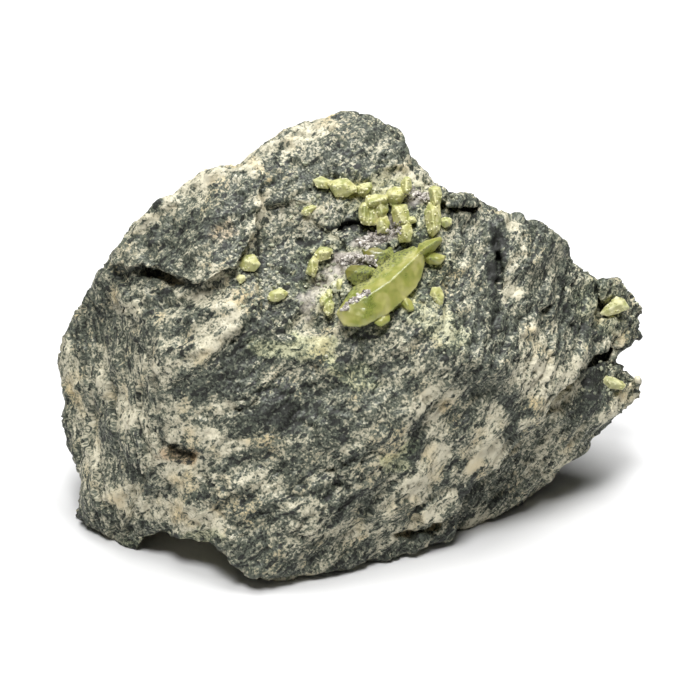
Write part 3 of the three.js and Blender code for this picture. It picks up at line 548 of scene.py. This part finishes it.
class Shader:
    """Builds one material's node tree from short calls."""

    def __init__(self, name):
        self.material = bpy.data.materials.new(name)
        self.material.use_nodes = True
        self.tree = self.material.node_tree
        self.surface = self.tree.nodes["Principled BSDF"]
        self.output = self.tree.nodes["Material Output"]

    def node(self, kind, inputs=None, **settings):
        made = self.tree.nodes.new("ShaderNode" + kind)
        for key, value in settings.items():
            setattr(made, key, value)
        for key, value in (inputs or {}).items():
            self.put(made.inputs[key], value)
        return made

    def put(self, socket, value):
        if isinstance(value, bpy.types.NodeSocket):
            self.tree.links.new(value, socket)
        else:
            socket.default_value = value

    def attribute(self, name, output):
        return self.node("Attribute", attribute_name=name).outputs[output]

    def scaled(self, vector, size):
        """A vector in units of a size, which is one number or one for each axis."""
        units = tuple(1 / float(part) for part in np.broadcast_to(size, 3))
        return self.node("VectorMath", {0: vector, 1: units}, operation="MULTIPLY").outputs[0]

    def noise(self, vector, size, detail=2.0, rough=0.5):
        inputs = {"Vector": self.scaled(vector, size), "Scale": 1.0, "Detail": detail, "Roughness": rough}
        return self.node("TexNoise", inputs).outputs["Fac"]

    def cells(self, vector, size):
        """A value from 0 to 1 that is fixed for each grain of a size."""
        made = self.node("TexVoronoi", {"Vector": self.scaled(vector, size), "Scale": 1.0})
        return self.node("SeparateColor", {"Color": made.outputs["Color"]}).outputs["Red"]

    def math(self, operation, *values):
        return self.node("Math", dict(enumerate(values)), operation=operation).outputs[0]

    def plus(self, value, share, part):
        """A value and a share of another."""
        return self.math("MULTIPLY_ADD", part, share, value)

    def spread(self, value, low, high, to_low=0.0, to_high=1.0):
        inputs = {"Value": value, "From Min": low, "From Max": high, "To Min": to_low, "To Max": to_high}
        return self.node("MapRange", inputs).outputs[0]

    def ramp(self, value, stops):
        made = self.node("ValToRGB", {"Fac": value})
        elements = made.color_ramp.elements
        while len(elements) < len(stops):
            elements.new(0.5)
        for element, (place, colour) in zip(elements, stops):
            element.position = place
            element.color = (*colour, 1)
        return made.outputs["Color"]

    def mix(self, factor, first, second, blend="MIX"):
        made = self.node("Mix", data_type="RGBA", blend_type=blend)
        self.put(made.inputs["Factor"], factor)
        self.put(made.inputs["A"], first)
        self.put(made.inputs["B"], second)
        return made.outputs["Result"]

    def stain(self, factor, colour, tint):
        return self.mix(factor, colour, (*tint, 1), "MULTIPLY")

    def bump(self, height, depth, strength):
        relief = self.node("Bump", {"Strength": strength, "Distance": depth * MM, "Height": height})
        self.put(self.surface.inputs["Normal"], relief.outputs[0])


def schist_material():
    shader = Shader("schist")
    fabric = shader.attribute("fabric", "Vector")
    place = shader.attribute("place", "Vector")
    tint = shader.node("SeparateXYZ", {"Vector": shader.attribute("tint", "Vector")}).outputs
    zones = shader.spread(shader.noise(fabric, ZONE_SIZE, detail=5.0, rough=0.6), *ZONE_RANGE)
    clumps = shader.noise(fabric, CLUMP_SIZE, detail=3.0, rough=0.6)
    grains = shader.cells(fabric, GRAIN_SIZE)
    flakes = shader.cells(fabric, FLAKE_SIZE)
    specks = shader.cells(place, SPECK_SIZE)
    tone = shader.attribute("pale", "Fac")
    # the specks' share of the tone is partly grain and partly painted glints of mica
    parts = ((zones, ZONE_TONE), (clumps, CLUMP_TONE), (grains, GRAIN_TONE), (specks, SPECK_TONE_AND_GLINT))
    for part, strength in parts:
        tone = shader.plus(tone, strength, shader.math("SUBTRACT", part, 0.5))
    tone = shader.math("ADD", tone, shader.spread(flakes, *FLAKE_RANGE, FLAKE_TONE, 0.0))
    colour = shader.ramp(tone, SCHIST_TONES)
    warm = shader.spread(shader.noise(place, WARM_SIZE, detail=3.0), *WARM_RANGE)
    warm = shader.math("MULTIPLY", warm, shader.spread(tone, *WARM_TONES, 0.0, WARM_STRENGTH))
    colour = shader.stain(warm, colour, WARM_STAIN)
    colour = shader.stain(tint["X"], colour, GREEN_STAIN)
    colour = shader.stain(tint["Y"], colour, RUST_STAIN)
    mauve = shader.math("MULTIPLY", tint["Z"], MAUVE_STRENGTH)
    colour = shader.mix(mauve, colour, shader.ramp(grains, MAUVE_TONES))
    shader.put(shader.surface.inputs["Base Color"], colour)
    shader.put(shader.surface.inputs["Roughness"], shader.spread(specks, 0.0, 1.0, 0.85, 0.45))
    height = shader.plus(shader.plus(clumps, 0.3, grains), 0.3, specks)
    shader.bump(height, depth=0.2, strength=0.6)
    return shader.material


def titanite_material():
    shader = Shader("titanite")
    place = shader.attribute("place", "Vector")
    frost = shader.attribute("frost", "Fac")
    pitted = shader.attribute("pitted", "Fac")
    olive = shader.attribute("olive", "Fac")
    cloud = shader.noise(place, CLOUD_SIZE, detail=3.0)
    colour = shader.ramp(cloud, TITANITE_TONES)
    colour = shader.stain(olive, colour, OLIVE_STAIN)
    colour = shader.mix(frost, colour, FROST_COLOUR)
    colour = shader.stain(pitted, colour, PITTED_STAIN)
    # painted shade: near-black spots where the skin is pitted, for the shade in its pits
    hole_shade = shader.spread(shader.cells(place, HOLE_SIZE), *HOLE_RANGE, HOLE_SHADE_STRENGTH, 0.0)
    colour = shader.mix(shader.math("MULTIPLY", hole_shade, pitted), colour, HOLE_SHADE_COLOUR)
    shader.put(shader.surface.inputs["Base Color"], colour)
    rough = shader.spread(cloud, *CLOUD_RANGE, *CLOUD_ROUGHNESS)
    rough = shader.plus(rough, PITTED_ROUGHNESS, pitted)
    shader.put(shader.surface.inputs["Roughness"], shader.plus(rough, FROST_ROUGHNESS, frost))
    shader.surface.inputs["IOR"].default_value = TITANITE_IOR
    shine = shader.plus(shader.spread(frost, 0.0, 0.5, *FROST_SHINE), PITTED_SHINE, pitted)
    shader.put(shader.surface.inputs["Specular IOR Level"], shine)
    clear = shader.plus(shader.spread(cloud, *CLOUD_RANGE, *CLOUD_CLEARNESS), PITTED_CLEARNESS, pitted)
    clear = shader.math("MULTIPLY", clear, shader.spread(frost, 0.0, 1.0, *FROST_CLEARNESS))
    shader.put(shader.surface.inputs["Transmission Weight"], clear)
    shader.bump(shader.noise(place, SKIN_SIZE), depth=0.07, strength=0.35)
    inside = shader.node("VolumeAbsorption", {"Color": ABSORBED_COLOUR, "Density": ABSORPTION})
    shader.put(shader.output.inputs["Volume"], inside.outputs[0])
    return shader.material


def grain_material(name, stops):
    """Angular grains, each in its own tone between some colours."""
    shader = Shader(name)
    tone = shader.attribute("tone", "Fac")
    spots = shader.noise(shader.attribute("place", "Vector"), SPOT_SIZE)
    darkest = shader.math("SUBTRACT", tone, SPOT_STRENGTH / 2)
    mottled = shader.plus(darkest, SPOT_STRENGTH, spots)
    shader.put(shader.surface.inputs["Base Color"], shader.ramp(mottled, stops))
    shader.put(shader.surface.inputs["Roughness"], shader.spread(tone, 0.0, 1.0, 0.9, 0.5))
    return shader.material


def thin_back(piece):
    """Joins faces on the rock's far side and underside, which need less detail."""
    points = read_points(piece.data)
    normals = read_normals(piece.data)
    away = np.flatnonzero((normals @ OUT < FACING_AWAY) & (seen(points)[:, 2] < 0))
    group = piece.vertex_groups.new(name="back")
    group.add(away.tolist(), 1, "REPLACE")
    modifier = piece.modifiers.new("thin", "DECIMATE")
    modifier.vertex_group = "back"
    modifier.ratio = 1 - (1 - BACK_SHARE) * len(away) / len(points)
    evaluate(piece)
    piece.vertex_groups.clear()


def make_rock(material):
    piece = bare_copy("schist", "schist_matrix")
    remesh(piece, ROCK_VOXEL)
    thin_back(piece)
    mesh = piece.data
    points = read_points(mesh)
    edges = read_edges(mesh)
    relax(points, edges, near_crystals(points), SOCKET_ROUNDS)
    relax(points, edges, np.ones(len(points), dtype=bool), 1, SOFTENING)
    write_points(mesh, points)
    normals = read_normals(mesh)
    fabric = fabric_of(points)
    grooves = layered_noise(fabric / GROOVE_SIZE, Seed.GROOVES, 2)
    grooves = 1 - smoothstep(np.abs(grooves), 0.0, GROOVE_WIDTH)
    grooves *= smoothstep(layered_noise(points / GROOVED_SIZE, Seed.GROOVED_PARTS, 2), *GROOVED_RANGE)
    pits = smoothstep(layered_noise(fabric / PIT_SIZE, Seed.PITS, 2), *PIT_RANGE)
    # painted shade: the tone is darkened in the grooves and pits
    pale = MEAN_TONE + band_sum(points, PALE_BANDS) + GROOVE_SHADE_TONE * grooves + PIT_SHADE_TONE * pits
    pale += STREAK_TONE * layered_noise(fabric / STREAK_SIZE, Seed.STREAKS, 3)
    heights = LAYER_HEIGHT * layered_noise(fabric / LAYER_SIZE, Seed.LAYERS, 2)
    heights += RIPPLE_HEIGHT * gradient_noise(fabric / RIPPLE_SIZE, Seed.RIPPLES)
    heights += SLAB_HEIGHT * chips(fabric / SLAB_SIZE, Seed.SLABS)
    heights += CHIP_HEIGHT * chips(points / CHIP_SIZE, Seed.CHIPS)
    heights -= GROOVE_DEPTH * grooves + PIT_DEPTH * pits
    heights *= smoothstep(points[:, 2], 0.0, LEVEL_BASE)
    write_points(mesh, points + normals * heights[:, None])
    tints = [band_sum(points, bands) for bands in (GREEN_BANDS, RUST_BANDS, MAUVE_BANDS)]
    set_attribute(mesh, "tint", np.stack(tints, axis=-1))
    set_attribute(mesh, "fabric", fabric)
    set_attribute(mesh, "place", points)
    set_attribute(mesh, "pale", pale)
    mesh.materials.clear()
    mesh.materials.append(material)
    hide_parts("schist_matrix")
    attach(piece, "root")
    return piece


def make_crystal(node, material):
    piece = bare_copy(node + "_look", node)
    remesh(piece, CRYSTAL_VOXEL)
    mesh = piece.data
    points = read_points(mesh)
    edges = read_edges(mesh)
    everywhere = np.ones(len(points), dtype=bool)
    relax(points, edges, everywhere, 1, SOFTENING)
    write_points(mesh, points)
    normals = read_normals(mesh)
    rounded = relax(points.copy(), edges, everywhere, EDGE_ROUNDS, SOFTENING)
    edged = smoothstep(np.einsum("ij,ij->i", points - rounded, normals), *EDGE_RANGE)
    u, v, _ = seen(points).T
    above_ridge = (v - RIDGE_START[1]) * RIDGE_RUN[0] - (u - RIDGE_START[0]) * RIDGE_RUN[1]
    ragged = PITTED_RIM_SHIFT * gradient_noise(points / PITTED_RIM_SIZE, Seed.PITTED_RIM)
    large = node == LARGE
    beak = "beak" in node
    olive = large * smoothstep(above_ridge, *OLIVE_RANGE) + BEAK_OLIVE * beak
    pitted = smoothstep(above_ridge + ragged, *PITTED_RANGE) * (1 - olive)
    pitted = large * np.maximum(pitted, EDGE_PITTED * edged)
    patches = smoothstep(layered_noise(points / FROST_PATCH_SIZE, Seed.FROST, 2), *FROST_PATCH_RANGE)
    frost = LEAST_FROST + BEAK_FROST * beak + PATCH_FROST * patches + EDGE_FROST * edged
    waves = gradient_noise(points / CRYSTAL_WAVE_SIZE, Seed.CRYSTAL_WAVES)
    heights = CRYSTAL_GROWTH + CRYSTAL_WAVE_HEIGHT * waves
    heights += PITTED_HEIGHT * pitted * gradient_noise(points / PITTED_SIZE, Seed.PITTED_FACE)
    write_points(mesh, points + normals * heights[:, None])
    set_attribute(mesh, "place", points)
    set_attribute(mesh, "pitted", pitted)
    set_attribute(mesh, "olive", olive)
    set_attribute(mesh, "frost", (1 - large) * frost)
    mesh.materials.clear()
    mesh.materials.append(material)
    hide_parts(node)
    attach(piece, "root")
    return piece


def make_grains(name, tree, places, sizes, material):
    """One mesh of small grains that sit where the viewer sees some places in u and v."""
    eye = Vector(EYE)
    targets = VIEW_POINT + np.outer(places[:, 0], RIGHT) + np.outer(places[:, 1], UP)
    hits = [tree.ray_cast(eye, Vector(target) - eye)[0] for target in targets]
    kept = [index for index, hit in enumerate(hits) if hit]
    middles = np.array([hits[index] for index in kept])
    ball = bmesh.new()
    bmesh.ops.create_icosphere(ball, subdivisions=1, radius=1)
    ball.verts.index_update()
    corners = np.array([vertex.co for vertex in ball.verts])
    faces = np.array([[vertex.index for vertex in face.verts] for face in ball.faces])
    ball.free()
    random = np.random.default_rng(len(places))
    shapes = corners * random.uniform(*CORNER_SPREAD, (len(kept), len(corners), 1))
    shapes *= random.uniform(*SIDE_SPREAD, (len(kept), 1, 3))
    points = (middles[:, None] + shapes * sizes[kept][:, None, None]).reshape(-1, 3)
    starts = np.arange(len(kept)) * len(corners)
    all_faces = (starts[:, None, None] + faces).reshape(-1, 3)
    mesh = bpy.data.meshes.new(name)
    mesh.from_pydata((points * MM).tolist(), [], all_faces.tolist())
    set_attribute(mesh, "place", points)
    set_attribute(mesh, "tone", np.repeat(random.random(len(kept)), len(corners)))
    mesh.materials.append(material)
    piece = bpy.data.objects.new(name, mesh)
    bpy.context.scene.collection.objects.link(piece)
    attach(piece, "root")


def make_crusts(tree):
    """Crusts of mauve grains along their paths."""
    random = np.random.default_rng(Seed.CRUST_DRAWS)
    places = []
    for path, half in CRUSTS:
        for start, end in zip(np.array(path), np.array(path[1:])):
            count = int(GRAINS_PER_MM * np.hypot(*(end - start)))
            along = start + random.random((count, 1)) * (end - start)
            places.append(along + random.normal(0, half / 2, (count, 2)))
    places = np.concatenate(places)
    sizes = random.uniform(*CRUST_GRAINS, len(places))
    make_grains("mauve_crusts", tree, places, sizes, grain_material("crust", CRUST_TONES))


def crystal_frames():
    """Each crystal's box as the viewer sees it: its node, its middle and half its size in u and v."""
    for node in CRYSTAL_NODES:
        low, high = (seen(np.array([corner]) / MM)[0, :2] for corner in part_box(node))
        yield node, (low + high) / 2, np.abs(high - low) / 2


def make_feldspar_crumbs(tree):
    """Crumbs of feldspar round the crystals."""
    random = np.random.default_rng(Seed.FELDSPAR_DRAWS)
    places = np.concatenate([
        middle + random.normal(0, 1, (CRUMBS_PER_CRYSTAL, 2)) * (half + CRUMB_MARGIN)
        for _, middle, half in crystal_frames()
    ])
    sizes = random.uniform(*FELDSPAR_GRAINS, len(places))
    make_grains("feldspar_crumbs", tree, places, sizes, grain_material("crumbs", FELDSPAR_TONES))


def make_titanite_crumbs(tree):
    """Crumbs of titanite on the small crystals."""
    random = np.random.default_rng(Seed.TITANITE_DRAWS)
    places = []
    for node, middle, half in crystal_frames():
        if node != LARGE:
            count = int(TITANITE_CRUMBS_PER_MM2 * 4 * half.prod())
            places.append(middle + random.uniform(-1, 1, (count, 2)) * half)
    places = np.concatenate(places)
    sizes = random.uniform(*TITANITE_GRAINS, len(places))
    material = grain_material("titanite_crumbs", TITANITE_CRUMB_TONES)
    make_grains("titanite_crumbs", tree, places, sizes, material)


def make_floor():
    shader = Shader("pale_floor")
    shader.surface.inputs["Base Color"].default_value = FLOOR_GREY
    shader.surface.inputs["Roughness"].default_value = FLOOR_ROUGHNESS
    bpy.ops.mesh.primitive_plane_add(size=FLOOR_SIDE)
    floor = bpy.context.object
    floor.name = "floor"
    floor.data.materials.append(shader.material)


def make_light(name, place, size, power):
    data = bpy.data.lights.new(name, "AREA")
    data.size = size
    data.energy = power
    light = bpy.data.objects.new(name, data)
    light.location = place
    light.rotation_euler = (LIT_POINT - light.location).to_track_quat("-Z", "Y").to_euler()
    bpy.context.scene.collection.objects.link(light)


def make_studio():
    scene = bpy.context.scene
    scene.view_settings.view_transform = "Standard"
    scene.world = bpy.data.worlds.new("studio")
    scene.world.use_nodes = True
    background = scene.world.node_tree.nodes["Background"]
    background.inputs["Color"].default_value = WHITE
    background.inputs["Strength"].default_value = SURROUNDING_LIGHT
    for light in LIGHTS:
        make_light(*light)
    data = bpy.data.cameras.new("camera")
    data.sensor_width = CAMERA_SENSOR
    data.lens = CAMERA_SENSOR * VIEW_DISTANCE / VIEW_WIDTH
    data.clip_start = CAMERA_NEAR
    camera = bpy.data.objects.new("camera", data)
    camera.location = EYE * MM
    camera.rotation_euler = (math.pi / 2 - VIEW_TILT, 0, 0)
    scene.collection.objects.link(camera)
    scene.camera = camera


make_studio()
make_floor()
rock = make_rock(schist_material())
titanite = titanite_material()
crystals = {node: make_crystal(node, titanite) for node in CRYSTAL_NODES}
make_crusts(surface_tree([rock, *crystals.values()]))
make_titanite_crumbs(surface_tree([piece for node, piece in crystals.items() if node != LARGE]))
make_feldspar_crumbs(surface_tree([rock]))
